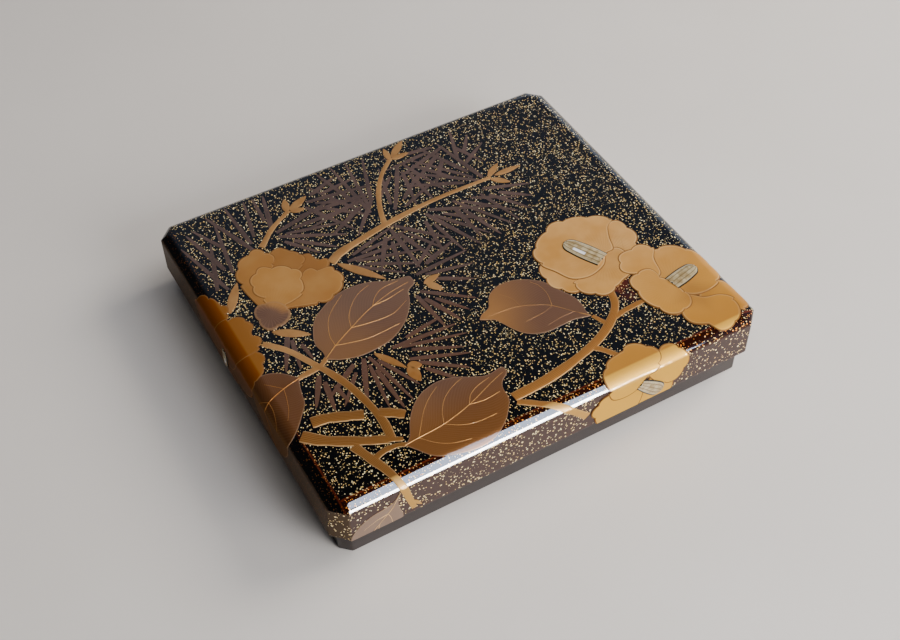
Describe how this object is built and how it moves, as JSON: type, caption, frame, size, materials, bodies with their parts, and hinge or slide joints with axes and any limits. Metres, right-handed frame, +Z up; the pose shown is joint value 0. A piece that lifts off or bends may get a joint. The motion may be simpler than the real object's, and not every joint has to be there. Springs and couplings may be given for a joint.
{
  "type": "writing box",
  "caption": "Shallow lacquered writing box with cut corners and a lift-off lid, decorated with camellia branches and pine needles in gold.",
  "frame": {"origin": "centre of the flat underside of the tray, at table level", "axes": "+X along the long side, towards the right as the box faces its user; +Y to the back; +Z up, out of the lid's top"},
  "size_m": [0.2413, 0.2143, 0.0413],
  "materials": {
    "decorated_lacquer": "polished black lacquer over thin wood, with gold flakes and low relief in gold and brown powders",
    "plain_lacquer": "plain dark lacquer over thin wood",
    "shell": "polished pale shell-like inlay"
  },
  "bodies": {
    "root": {"lid": "decorated_lacquer", "tray": "plain_lacquer", "inlay_right": "shell", "inlay_corner": "shell", "inlay_front": "shell", "inlay_left": "shell"}
  },
  "joints": []
}
